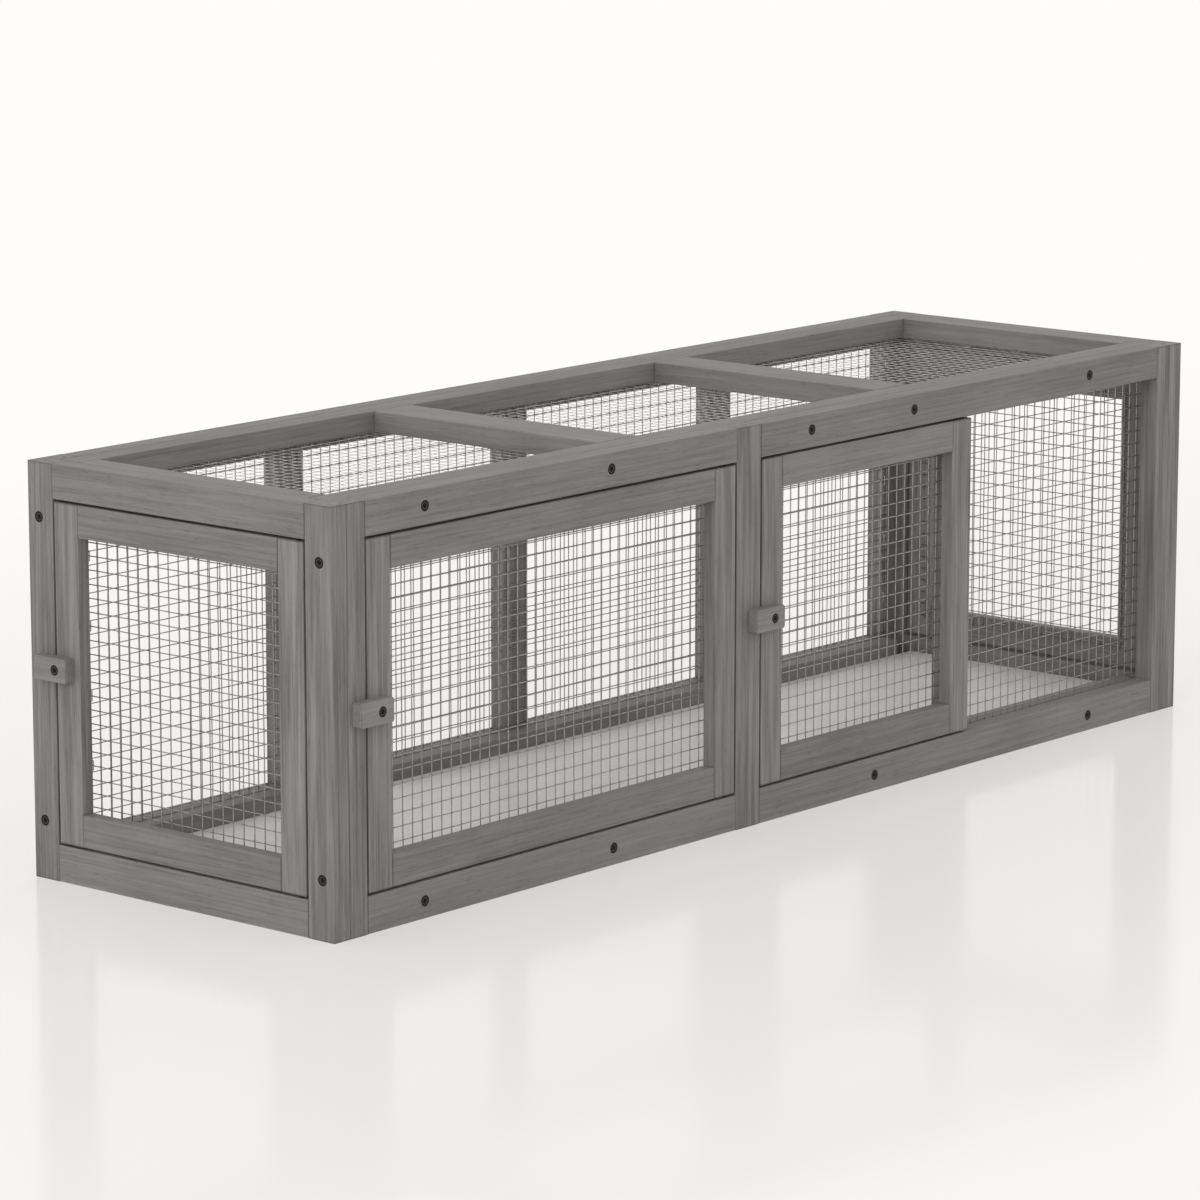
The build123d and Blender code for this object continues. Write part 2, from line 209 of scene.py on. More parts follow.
def wire_sheet(span, pitch, selvage, thick, belly, sway, sides, rng):
    """A sheet of welded wires in two layers that touch at the middle of the sheet's thickness: the
    bars along u outside and those along v inside. Each is a straight line plus two slow sines of its
    own, and the whole sheet bellies inwards by the product of two half sines. Returns points, faces
    and the closeness of each point to a weld, from 1 on it to 0 halfway to the next."""
    (u_low, u_high), (v_low, v_high), (w_low, w_high) = span
    columns = wire_places(u_low, u_high, pitch, selvage)
    rows = wire_places(v_low, v_high, pitch, selvage)
    points, faces, welds = [], [], []
    for along in (0, 1):
        crossings, bars = (columns, rows) if along == 0 else (rows, columns)
        low, high = span[along]
        place = stations(low, high, crossings)
        count = len(bars)
        phase = rng.uniform(0, 2 * math.pi, (2, count, 1))
        swing = sway * rng.uniform(*SWAY_RANGE, (2, count, 1))
        drift = swing[0] * np.sin(2 * math.pi * place / SLOW_WAVE + phase[0])
        drift = drift + FAST_SHARE * swing[1] * np.sin(2 * math.pi * place / FAST_WAVE + phase[1])
        paths = np.zeros((count, len(place), 3))
        paths[:, :, along] = place
        paths[:, :, 1 - along] = bars[:, None] + drift
        across = (paths[:, :, 0] - u_low) / (u_high - u_low)
        down = (paths[:, :, 1] - v_low) / (v_high - v_low)
        level = (w_low + w_high) / 2 + thick * (LAYER_LEVEL if along else -LAYER_LEVEL)
        paths[:, :, 2] = level + belly * np.sin(math.pi * across) * np.sin(math.pi * down)
        side = np.roll(np.array([0.0, 1.0, 0.0]), along)
        other = np.roll(np.array([0.0, 0.0, 1.0]), along)
        shape = tubes(paths, side, other, thick / 2, sides)
        start = sum(len(p) for p in points)
        points.append(shape.reshape(-1, 3))
        faces += [[index + start for index in face] for face in tube_faces(count, len(place), sides)]
        nearest = np.abs(place[:, None] - crossings[None]).min(1)
        closeness = 1 - np.clip(2 * nearest / pitch, 0, 1)
        welds.append(np.broadcast_to(closeness[None, :, None], shape.shape[:3]).reshape(-1))
    return np.concatenate(points), faces, np.concatenate(welds)


def staple_shape(thick, span, leg, sides):
    """A bent staple in its own x and z plane: a tube along a path that goes up one leg, round a
    corner, across the crown and down the other leg. The side direction is the path's own turned
    a quarter in the plane, and the other is y."""
    half = (span + thick) / 2
    crown = thick / 2
    turn = np.array([
        [half, -leg],
        [half, -BEND_START * crown],
        [half - BEND_MIDDLE * crown, BEND_MIDDLE * crown],
        [half - BEND_END * crown, crown],
    ])
    path = np.concatenate([turn * (-1, 1), turn[::-1]])
    ahead = np.gradient(path, axis=0)
    ahead /= np.linalg.norm(ahead, axis=1)[:, None]
    angle = 2 * math.pi * np.arange(sides) / sides
    side = np.stack([ahead[:, 1], np.zeros(len(path)), -ahead[:, 0]], -1)
    other = np.array([0.0, 1.0, 0.0])
    ring = np.cos(angle)[None, :, None] * side[:, None] + np.sin(angle)[None, :, None] * other
    middle = np.stack([path[:, 0], np.zeros(len(path)), path[:, 1]], -1)
    points = middle[:, None] + ring * thick / 2
    return points.reshape(-1, 3), tube_faces(1, len(path), sides)


def turned_shape(profile, sides, recess):
    """A shape turned on its own z axis: each profile point's radius times the cosine and sine of
    an angle, and its height less the recess at that x and y. Both ends close in a single point."""
    angle = 2 * math.pi * np.arange(sides) / sides
    radius, height = profile[1:-1, 0], profile[1:-1, 1]
    x = radius[:, None] * np.cos(angle)
    y = radius[:, None] * np.sin(angle)
    z = np.broadcast_to(height[:, None], x.shape)
    body = np.stack([x, y, z], -1).reshape(-1, 3)
    ends = np.array([[0, 0, profile[0, 1]], [0, 0, profile[-1, 1]]])
    points = np.concatenate([body, ends])
    points[:, 2] -= recess(points[:, 0], points[:, 1], points[:, 2])
    ring = np.arange(sides)
    after = (ring + 1) % sides
    step = np.arange(len(radius) - 1)[:, None] * sides
    quads = np.stack([step + ring, step + ring + sides, step + after + sides, step + after], -1)
    faces = quads.reshape(-1, 4).tolist()
    top, tip = len(body), len(body) + 1
    last = (len(radius) - 1) * sides
    faces += [[top, int(a), int(b)] for a, b in zip(ring, after)]
    faces += [[tip, int(b) + last, int(a) + last] for a, b in zip(ring, after)]
    return points, faces


def screw_shape(radius, reach_in, sides):
    """A black wood screw, its head's top at z = 0 and its tip down. The head's rim is rounded, and
    a round dish with a cross sunk in it takes the driver. Also returns how pale each point is, as
    wear and as a painted sheen: most on a ring round the dish, less with the distance from it."""
    shank = SHANK_RADIUS * MM
    profile = [(row * MM, 0) for row in FACE_ROWS]
    profile += [(radius - step * MM, height * MM) for step, height in RIM_STEPS]
    profile += [(shank, SHANK_TOP * MM), (shank, POINT_LONG * MM - reach_in), (0, -reach_in)]

    def driver_recess(x, y, z):
        """The dish, sunk evenly inside its edge, plus the cross, whose arms fade at their ends."""
        away = np.hypot(x, y) / MM
        dish = DISH_DEEP * np.clip((DISH_END - away) / DISH_EDGE, 0, 1)
        arm = np.clip(ARM_WIDTH - np.minimum(abs(x), abs(y)) / MM / ARM_SLOPE, 0, 1)
        cross = CROSS_DEEP * arm * np.clip((CROSS_END - away) / CROSS_EDGE, 0, 1)
        return np.where(z > -FACE_SLACK * MM, (dish + cross) * MM, 0)

    points, faces = turned_shape(np.array(profile), sides, driver_recess)
    away = np.hypot(points[:, 0], points[:, 1]) / MM
    wear_and_sheen = np.clip(WORN_PEAK - abs(away - WORN_MIDDLE) / WORN_FADE, 0, 1)
    return points, faces, wear_and_sheen * (points[:, 2] > -WORN_DOWN * MM)


def seat_ring_shape(section, around):
    """A closed ring: a section of radii and heights carried round a circle, each radius times
    the cosine and sine of an angle."""
    angle = 2 * math.pi * np.arange(around)[:, None] / around
    away = np.broadcast_to(section[:, 0], (around, len(section)))
    height = np.broadcast_to(section[:, 1], (around, len(section)))
    points = np.stack([away * np.cos(angle), away * np.sin(angle), height], -1).reshape(-1, 3)
    sides = len(section)
    ring = np.arange(sides)
    here = np.arange(around)[:, None] * sides
    there = (np.arange(around)[:, None] + 1) % around * sides
    after = (ring + 1) % sides
    quads = np.stack([here + ring, there + ring, there + after, here + after], -1)
    return points, quads.reshape(-1, 4).tolist()


def repeat(shape, places, directions):
    """Copies of one shape: each place plus the shape's x, y and z times that copy's directions."""
    points, faces = shape[:2]
    places = np.array(places, float)
    directions = np.array(directions, float)
    copies = places[:, None] + np.einsum("pi,kij->kpj", points, directions)
    every = [[i + k * len(points) for i in face] for k in range(len(places)) for face in faces]
    return copies.reshape(-1, 3), every


def make_piece(name, points, faces, material, body, slot, nodes=(), sharp_over=None):
    """Puts points and faces into a new object at the origin, and hands it to the frame."""
    mesh = bpy.data.meshes.new(name)
    mesh.from_pydata(points.tolist(), [], faces)
    mesh.shade_smooth()
    if sharp_over:
        mesh.set_sharp_from_angle(angle=math.radians(sharp_over))
    mesh.materials.append(material)
    piece = bpy.data.objects.new(name, mesh)
    bpy.context.scene.collection.objects.link(piece)
    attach(piece, body)
    if nodes:
        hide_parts(*nodes)
    return piece


def add_layer(piece, name, values):
    """Stores one number for each of a piece's points, which its material reads by name."""
    layer = piece.data.attributes.new(name, "FLOAT", "POINT")
    layer.data.foreach_set("value", values.astype(np.float32))


# Finishes

# Noise in the stain: stretch along the grain, scale, detail, roughness and bend
FIBRES = (40, 820, 4, 0.65, 0.2)
BANDS = (30, 210, 2.5, 0.55, 0.3)
PORES = (14, 1150, 2, 0.5, 0.0)
CLOUDS = (2.5, 22, 3, 0.55, 0.0)
PORE_LEVELS = (0.62, 0.72)

# Growth rings: stretch along the grain, how they wander, and which of their levels are late wood
RING_STRETCH = 12
RING_BEND = {"Distortion": 4.0, "Detail": 2.5, "Detail Scale": 0.5}
LATE_WOOD_LEVELS = (0.62, 1.0)

# How much each layer adds to the stain's tone, and the tone in the middle
FIBRE_SHARE, CLOUD_SHARE, LATE_WOOD_SHARE, PORE_SHARE = 0.70, 0.48, -0.10, -0.30
MIDDLE_TONE = 0.54

# Ramps: a dark and a pale tone, each as its place on the ramp and its share of the colour
STAIN_TONES = ((0.12, 0.62), (0.88, 1.36))
SPANGLE_TONES = ((0.3, 0.78), (0.7, 1.2))
MOTTLE_TONES = ((0.35, 0.7), (0.7, 1.9))
PLAIN_TONES = ((0.3, 0.7), (0.7, 1.25))
FACING_TONES = ((0.35, 0.9), (0.65, 1.06))

# Paler edges, as rubbed wear and as a painted highlight: the rounding that finds them in metres, the
# facings between which they fade in, how the fibres break them up, and their share of the stain's colour
EDGE_ROUNDING, EDGE_FACINGS, EDGE_FIBRES, EDGE_TONE = 0.0013, (0.985, 0.80), (0.35, 0.6, 0.4, 1), 1.9

# Soaked ends: where they start and are full in metres from the end, the facings of the board's
# sides, and their share of the stain's colour
SOAK_START, SOAK_FULL, SIDE_FACINGS, SOAK_TONE = 0.0014, 0.0004, (0.5, 0.9), 0.3

# The levels of a noise between which roughness is spread, and each finish's roughness
NOISE_LEVELS = (0.3, 0.7)
WOOD_ROUGHNESS_SPREAD = 0.08
ZINC_ROUGHNESS = (0.26, 0.42)
BLACK_ROUGHNESS = (0.5, 0.65)
FACING_ROUGHNESS = (0.42, 0.56)
PLAIN_ROUGHNESS = 0.75

# Shine of each finish that isn't metal, and how metallic the wires are
WOOD_SHINE, BLACK_SHINE, FACING_SHINE = 0.32, 0.15, 0.3
ZINC_METALLIC = 0.9

# Relief: how late wood and pores change the fibres' height, and each finish's strength and depth
LATE_WOOD_HEIGHT, PORE_HEIGHT = 0.35, -0.8
WOOD_RELIEF = {"Strength": 0.35, "Distance": 0.00025}
BLACK_RELIEF = {"Strength": 0.25, "Distance": 0.0001}
PLAIN_RELIEF = {"Strength": 0.4, "Distance": 0.0002}
FACING_RELIEF = {"Strength": 0.2, "Distance": 0.0001}

# Noise in the other finishes
SPANGLE = {"Scale": 420.0, "Detail": 3.0, "Roughness": 0.6}
MOTTLE = {"Scale": 1800.0, "Detail": 3.0}
PLAIN_FIBRES = {"Scale": 1300.0, "Detail": 3.0, "Roughness": 0.6}
FACING_STREAKS = {"Scale": 240.0, "Detail": 4.0, "Roughness": 0.6}
FACING_CLOUDS = {"Scale": 9.0, "Detail": 3.0}
FACING_SQUEEZE = (0.05, 1.0, 1.0)

# Painted shade on the zinc beside a weld: how close it stays, how strong it is, and its share of the
# colour
WELD_CLOSENESS, WELD_STRENGTH, WELD_SHADE_TONE = 5.0, 0.6, 0.35

# Black metal paler on a ring round the dish, as the driver's wear and a painted sheen: how strong,
# and its colour
WORN_STRENGTH, WORN_SHEEN_COLOUR = 0.8, (0.085, 0.085, 0.085, 1)

# Colours of what hardly shows
DOWEL_COLOUR = (0.55, 0.42, 0.27)
STAPLE_COLOUR = (0.42, 0.42, 0.41)
# The pivot pins are painted near-black: painted shade in their narrow gaps
PIN_SHADE_COLOUR = (0.03, 0.03, 0.03)


def put(tree, kind, inputs=(), **fields):
    """Adds a shader node, sets its fields, and fills or links its inputs by name or number."""
    node = tree.nodes.new(kind)
    for key, value in fields.items():
        setattr(node, key, value)
    for key, value in dict(inputs).items():
        if isinstance(value, bpy.types.NodeSocket):
            tree.links.new(value, node.inputs[key])
        else:
            node.inputs[key].default_value = value
    return node


def sum_up(tree, operation, first, second, third=0.0):
    """One Math node and its result."""
    return put(tree, "ShaderNodeMath", {0: first, 1: second, 2: third}, operation=operation).outputs[0]


def spread(tree, value, low, high, to_low, to_high):
    """A value mapped from one range to another and held inside it."""
    inputs = {"Value": value, "From Min": low, "From Max": high, "To Min": to_low, "To Max": to_high}
    return put(tree, "ShaderNodeMapRange", inputs).outputs[0]


def noise_of(tree, where, kind):
    """A noise at some coordinates."""
    return put(tree, "ShaderNodeTexNoise", {"Vector": where, **kind}).outputs["Fac"]


def blend(tree, amount, first, second):
    """One colour laid over another by an amount."""
    return put(tree, "ShaderNodeMix", {0: amount, 6: first, 7: second}, data_type="RGBA").outputs[2]


def two_tones(tree, value, colour, dark, pale):
    """A ramp from a dark to a pale tone of a colour."""
    ramp = put(tree, "ShaderNodeValToRGB", {"Fac": value})
    for index, (place, share) in enumerate((dark, pale)):
        stop = ramp.color_ramp.elements[index]
        stop.position, stop.color = place, (*(np.array(colour) * share), 1)
    return ramp


def relief(tree, shader, height, kind):
    """Bumps a finish by a height."""
    bump = put(tree, "ShaderNodeBump", {"Height": height, **kind})
    tree.links.new(bump.outputs[0], shader.inputs["Normal"])


def new_finish(name):
    """An empty material, its node tree and its shader."""
    material = bpy.data.materials.new(name)
    material.use_nodes = True
    return material, material.node_tree, material.node_tree.nodes["Principled BSDF"]


def grey_stain(name, grain, middle, half, tone, shift, timber):
    """Grey-stained softwood with its grain along one axis. Growth rings are circles about a line
    beside the board, drawn out along the grain; fibres, soft bands and short dark pores are noise
    stretched along it; and the stain is cloudy. Edges are a little paler, as rubbed wear and as a
    painted highlight on the arrises, and the stain has soaked in darker just beside the board's two
    sawn ends, which lie half its length from its middle."""
    material, tree, shader = new_finish(name)
    where = put(tree, "ShaderNodeTexCoord").outputs["Object"]

    def drawn_out(stretch):
        """Object coordinates about the board's middle, squeezed along the grain."""
        scale = [1.0, 1.0, 1.0]
        scale[grain] = 1 / stretch
        move = [s - m * k for s, m, k in zip(shift, middle, scale)]
        inputs = {"Vector": where, "Location": move, "Scale": scale}
        return put(tree, "ShaderNodeMapping", inputs).outputs[0]

    def noise(stretch, scale, detail, roughness, bend):
        """Noise in the drawn out coordinates."""
        kind = {"Scale": scale, "Detail": detail, "Roughness": roughness, "Distortion": bend}
        return noise_of(tree, drawn_out(stretch), kind)

    fibres, bands, cloud = noise(*FIBRES), noise(*BANDS), noise(*CLOUDS)
    pores = spread(tree, noise(*PORES), *PORE_LEVELS, 0, 1)
    rings = put(
        tree,
        "ShaderNodeTexWave",
        {"Vector": drawn_out(RING_STRETCH), "Scale": timber.ring_scale, **RING_BEND},
        wave_type="RINGS",
        rings_direction="XYZ"[grain],
        wave_profile="SIN",
    ).outputs["Fac"]
    late_wood = spread(tree, rings, *LATE_WOOD_LEVELS, 0, 1)

    banding = timber.upright_banding if grain == 2 else timber.level_banding
    value = MIDDLE_TONE + tone - (FIBRE_SHARE + banding + CLOUD_SHARE) / 2
    value = sum_up(tree, "MULTIPLY_ADD", fibres, FIBRE_SHARE, value)
    value = sum_up(tree, "MULTIPLY_ADD", bands, banding, value)
    value = sum_up(tree, "MULTIPLY_ADD", cloud, CLOUD_SHARE, value)
    value = sum_up(tree, "MULTIPLY_ADD", late_wood, LATE_WOOD_SHARE, value)
    value = sum_up(tree, "MULTIPLY_ADD", pores, PORE_SHARE, value)
    stain = np.array(timber.stain_colour)
    ramp = two_tones(tree, value, stain, *STAIN_TONES)
    ramp.color_ramp.elements.new(0.5).color = (*stain, 1)

    rounded = put(tree, "ShaderNodeBevel", {"Radius": EDGE_ROUNDING}, samples=4).outputs["Normal"]
    flat = put(tree, "ShaderNodeNewGeometry").outputs["Normal"]
    facing = put(tree, "ShaderNodeVectorMath", {0: rounded, 1: flat}, operation="DOT_PRODUCT")
    # Paler edges: rubbed wear, and a painted highlight on the rounded arrises
    edge = spread(tree, facing.outputs["Value"], *EDGE_FACINGS, 0, timber.edge_wear_and_highlight)
    rubbed = sum_up(tree, "MULTIPLY", edge, spread(tree, fibres, *EDGE_FIBRES))
    pale = (*np.clip(stain * EDGE_TONE, 0, 1), 1)
    mixed = blend(tree, rubbed, ramp.outputs["Color"], pale)
    along = put(tree, "ShaderNodeSeparateXYZ", {"Vector": where}).outputs[grain]
    away = sum_up(tree, "ABSOLUTE", sum_up(tree, "SUBTRACT", along, middle[grain]), 0)
    outward = put(tree, "ShaderNodeTexCoord").outputs["Normal"]
    outward = put(tree, "ShaderNodeSeparateXYZ", {"Vector": outward}).outputs[grain]
    side_face = spread(tree, sum_up(tree, "ABSOLUTE", outward, 0), *SIDE_FACINGS, 1, 0)
    soaked = spread(tree, away, half - SOAK_START, half - SOAK_FULL, 0, timber.end_soak)
    soaked = sum_up(tree, "MULTIPLY", soaked, side_face)
    mixed = blend(tree, soaked, mixed, (*(stain * SOAK_TONE), 1))
    tree.links.new(mixed, shader.inputs["Base Color"])

    low, high = timber.roughness - WOOD_ROUGHNESS_SPREAD, timber.roughness + WOOD_ROUGHNESS_SPREAD
    tree.links.new(spread(tree, fibres, *NOISE_LEVELS, low, high), shader.inputs["Roughness"])
    shader.inputs["Specular IOR Level"].default_value = WOOD_SHINE
    height = sum_up(tree, "MULTIPLY_ADD", late_wood, LATE_WOOD_HEIGHT, fibres)
    height = sum_up(tree, "MULTIPLY_ADD", pores, PORE_HEIGHT, height)
    relief(tree, shader, height, WOOD_RELIEF)
    return material


def dull_zinc(name, colour, weld_attribute):
    """Galvanised wire: a spangled grey metal, with painted shade close to each weld where wires cross."""
    material, tree, shader = new_finish(name)
    where = put(tree, "ShaderNodeTexCoord").outputs["Object"]
    spangle = noise_of(tree, where, SPANGLE)
    mixed = two_tones(tree, spangle, colour, *SPANGLE_TONES).outputs["Color"]
    if weld_attribute:
        weld = put(tree, "ShaderNodeAttribute", attribute_name=weld_attribute).outputs["Fac"]
        # Painted shade: the zinc is darkened close to each weld
        near = sum_up(tree, "POWER", weld, WELD_CLOSENESS)
        near = sum_up(tree, "MULTIPLY", near, WELD_STRENGTH)
        mixed = blend(tree, near, mixed, (*(np.array(colour) * WELD_SHADE_TONE), 1))
    tree.links.new(mixed, shader.inputs["Base Color"])
    tree.links.new(spread(tree, spangle, *NOISE_LEVELS, *ZINC_ROUGHNESS), shader.inputs["Roughness"])
    shader.inputs["Metallic"].default_value = ZINC_METALLIC
    return material


def black_oxide(name, colour):
    """Black screw metal, dry and faintly mottled, paler grey on a ring round the dish: the driver's wear
    and a painted sheen.
    """
    material, tree, shader = new_finish(name)
    where = put(tree, "ShaderNodeTexCoord").outputs["Object"]
    mottle = noise_of(tree, where, MOTTLE)
    ramp = two_tones(tree, mottle, colour, *MOTTLE_TONES)
    wear_and_sheen = put(tree, "ShaderNodeAttribute", attribute_name="wear_and_sheen").outputs["Fac"]
    # Paler ring round the dish: the driver's wear, and a painted sheen on its lip
    wear_and_sheen = sum_up(tree, "MULTIPLY", wear_and_sheen, WORN_STRENGTH)
    mixed = blend(tree, wear_and_sheen, ramp.outputs["Color"], WORN_SHEEN_COLOUR)
    tree.links.new(mixed, shader.inputs["Base Color"])
    tree.links.new(spread(tree, mottle, *NOISE_LEVELS, *BLACK_ROUGHNESS), shader.inputs["Roughness"])
    shader.inputs["Specular IOR Level"].default_value = BLACK_SHINE
    relief(tree, shader, mottle, BLACK_RELIEF)
    return material


def plain_wood(name, colour):
    """Wood fibres of one colour: the bare dowels, and the painted shade in the screws' seats."""
    material, tree, shader = new_finish(name)
    where = put(tree, "ShaderNodeTexCoord").outputs["Object"]
    fibres = noise_of(tree, where, PLAIN_FIBRES)
    ramp = two_tones(tree, fibres, colour, *PLAIN_TONES)
    tree.links.new(ramp.outputs["Color"], shader.inputs["Base Color"])
    shader.inputs["Roughness"].default_value = PLAIN_ROUGHNESS
    relief(tree, shader, fibres, PLAIN_RELIEF)
    return material


def pale_facing(name, colour):
    """A board with a pale, matt facing: faint streaks drawn out along X, and soft clouds."""
    material, tree, shader = new_finish(name)
    where = put(tree, "ShaderNodeTexCoord").outputs["Object"]
    mapping = {"Vector": where, "Scale": FACING_SQUEEZE}
    streaks = noise_of(tree, put(tree, "ShaderNodeMapping", mapping).outputs[0], FACING_STREAKS)
    clouds = noise_of(tree, where, FACING_CLOUDS)
    value = sum_up(tree, "MULTIPLY_ADD", streaks, 0.5, sum_up(tree, "MULTIPLY", clouds, 0.5))
    ramp = two_tones(tree, value, colour, *FACING_TONES)
    tree.links.new(ramp.outputs["Color"], shader.inputs["Base Color"])
    tree.links.new(spread(tree, streaks, *NOISE_LEVELS, *FACING_ROUGHNESS), shader.inputs["Roughness"])
    shader.inputs["Specular IOR Level"].default_value = FACING_SHINE
    relief(tree, shader, streaks, FACING_RELIEF)
    return material


def dress(node, material):
    """Gives a CAD node's object one material in all its slots."""
    slots = frame["nodes"][node].material_slots
    if not slots:
        frame["nodes"][node].data.materials.append(material)
    for slot in slots:
        slot.material = material


def grain_of(node):
    """The axis that a board's grain runs along: 0, 1 or 2 for X, Y or Z."""
    if any(word in node for word in ("stile", "post", "mullion")):
        return 2
    if "_end_" in node or node in ("roof_end_boards", "roof_crossbars"):
        return 1
    return 0


# Sizes and colours

COLOUR = {"subtype": "COLOR", "size": 3, "min": 0, "max": 1}


class TimberSettings(bpy.types.PropertyGroup):
    stain_colour: bpy.props.FloatVectorProperty(
        name="Stain", description="Middle tone of the grey stain", **COLOUR,
        default=(0.204, 0.198, 0.192))
    roughness: bpy.props.FloatProperty(
        name="Roughness", description="How matt the stained wood is", subtype="FACTOR", min=0, max=1,
        default=0.6)
    # Pale edges stand for rubbed wear and a painted highlight on the arrises
    edge_wear_and_highlight: bpy.props.FloatProperty(
        name="Edge wear and highlight", description="How pale the edges are, as rubbed wear and painted highlight", subtype="FACTOR", min=0, max=1,
        default=0.28)
    upright_banding: bpy.props.FloatProperty(
        name="Upright banding", description="Strength of the soft bands on upright boards", min=0,
        default=1.5)
    level_banding: bpy.props.FloatProperty(
        name="Level banding", description="Strength of the soft bands on level boards", min=0, default=0.6)
    end_soak: bpy.props.FloatProperty(
        name="End soak", description="How dark the stain is beside a sawn end", subtype="FACTOR",
        min=0, max=1, default=0.6)
    ring_scale: bpy.props.FloatProperty(
        name="Ring scale", description="How close the growth rings are; 80 is about 4 mm apart", min=10,
        default=85)
    board_colour: bpy.props.FloatVectorProperty(
        name="Floor board", description="Colour of the floor board's facing", **COLOUR,
        default=(0.80, 0.775, 0.76))


class WireSettings(bpy.types.PropertyGroup):
    pitch: bpy.props.FloatProperty(
        name="Pitch", description="Distance from wire to wire", unit="LENGTH", default=0.012)
    selvage: bpy.props.FloatProperty(
        name="Selvage", description="Least length of wire left beyond the last crossing", unit="LENGTH",
        default=0.001)
    thick: bpy.props.FloatProperty(
        name="Wire", description="Diameter of the wire", unit="LENGTH", default=0.001)
    roof_thick: bpy.props.FloatProperty(
        name="Roof wire", description="Diameter of the roof's finer wire", unit="LENGTH", default=0.00045)
    sway: bpy.props.FloatProperty(
        name="Sway", description="How far a wire strays from straight", unit="LENGTH", default=0.00022)
    colour: bpy.props.FloatVectorProperty(
        name="Zinc", description="Colour of the galvanising", **COLOUR,
        default=(0.34, 0.34, 0.33))
    # The roof's wire is a paler copy of the walls' zinc: painted light from above
    roof_lit_colour: bpy.props.FloatVectorProperty(
        name="Roof zinc, lit", description="Colour of the roof's wire, painted brighter as lit from above", **COLOUR,
        default=(0.64, 0.64, 0.63))


class StapleSettings(bpy.types.PropertyGroup):
    thick: bpy.props.FloatProperty(
        name="Wire", description="Diameter of a staple's wire", unit="LENGTH", default=0.001)
    span: bpy.props.FloatProperty(
        name="Span", description="Clear width between a staple's legs", unit="LENGTH", default=0.008)
    leg: bpy.props.FloatProperty(
        name="Leg", description="How deep a staple's legs go", unit="LENGTH", default=0.006)
    every: bpy.props.IntProperty(
        name="Every", description="A staple on every so many wires", min=1, default=5)
    lap: bpy.props.FloatProperty(
        name="Lap", description="How far the mesh laps onto the wood", unit="LENGTH", default=0.010)
    clear: bpy.props.FloatProperty(
        name="Clearance", description="From a staple to the wire beside it", unit="LENGTH", default=0.003)


class ScrewSettings(bpy.types.PropertyGroup):
    head_radius: bpy.props.FloatProperty(
        name="Head", description="Radius of a screw's head", unit="LENGTH", default=0.00428)
    seat_radius: bpy.props.FloatProperty(
        name="Seat", description="Radius of the round seat that a head lies in", unit="LENGTH",
        default=0.00435)
    countersink: bpy.props.FloatProperty(
        name="Countersink", description="Width of the chamfer round a seat", unit="LENGTH", default=0.0005)
    sunk: bpy.props.FloatProperty(
        name="Sunk", description="How far a head lies below the wood", unit="LENGTH", default=0.0002)
    reach_in: bpy.props.FloatProperty(
        name="Length", description="Length of a frame screw", unit="LENGTH", default=0.035)
    button_reach_in: bpy.props.FloatProperty(
        name="Button screw", description="Length of a turn button's screw", unit="LENGTH", default=0.020)
    colour: bpy.props.FloatVectorProperty(
        name="Black", description="Colour of the screws", **COLOUR,
        default=(0.009, 0.009, 0.009))
    # The seat's ring is painted near-black: painted shade in the chamfer round each head
    seat_shade_colour: bpy.props.FloatVectorProperty(
        name="Shaded seat ring", description="Colour of the painted shade in the chamfer round a head", **COLOUR,
        default=(0.014, 0.014, 0.014))


class StageSettings(bpy.types.PropertyGroup):
    camera_place: bpy.props.FloatVectorProperty(
        name="Camera", description="Where the camera stands", subtype="TRANSLATION", unit="LENGTH", size=3,
        default=(-3.57858, -2.99344, 1.0851))
    heading: bpy.props.FloatProperty(
        name="Heading", description="Direction of view in degrees from +X", default=40.4622)
    tilt: bpy.props.FloatProperty(
        name="Tilt", description="Degrees that the view looks up", default=-11.0546)
    lens: bpy.props.FloatProperty(
        name="Lens", description="Focal length in millimetres on a 36 mm sensor", default=156.526)
    floor_colour: bpy.props.FloatVectorProperty(
        name="Floor", description="Colour of the floor", **COLOUR,
        default=(0.90, 0.89, 0.88))
    sky: bpy.props.FloatProperty(
        name="Sky", description="Strength of the even light from all round", min=0, default=1.05)
    zenith: bpy.props.FloatProperty(
        name="Zenith", description="Strength of the light from straight above, against the rest", min=0,
        default=0.62)


# Operators

class PETRUN_OT_stain_boards(bpy.types.Operator):
    """Stains every board and turn button grey, leaves the dowels bare and faces the floor board"""
    bl_idname = "petrun.stain_boards"
    bl_label = "Stain the Boards"

    def execute(self, context):
        timber = context.scene.petrun_timber
        rng = np.random.default_rng(BOARD_SEED)
        for part in frame["record"]["subparts"]:
            if part["material_slot"] != "grey_stained_wood":
                continue
            node = part["node"]
            low, high = (np.array(list(corner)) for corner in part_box(node))
            middle = (low + high) / 2
            grain = grain_of(node)
            half = (high - low)[grain] / 2
            shift = rng.uniform(-GRAIN_SHIFT, GRAIN_SHIFT, 3)
            tone = rng.uniform(-TONE_STRAY, TONE_STRAY)
            tone += BUTTON_TONE if node.endswith("_turn_button") else 0
            dress(node, grey_stain("stain_" + node, grain, middle, half, tone, shift, timber))
        dress("frame_dowels", plain_wood("dowel_wood", DOWEL_COLOUR))
        dress("floor_board", pale_facing("pale_board", timber.board_colour))
        return {"FINISHED"}


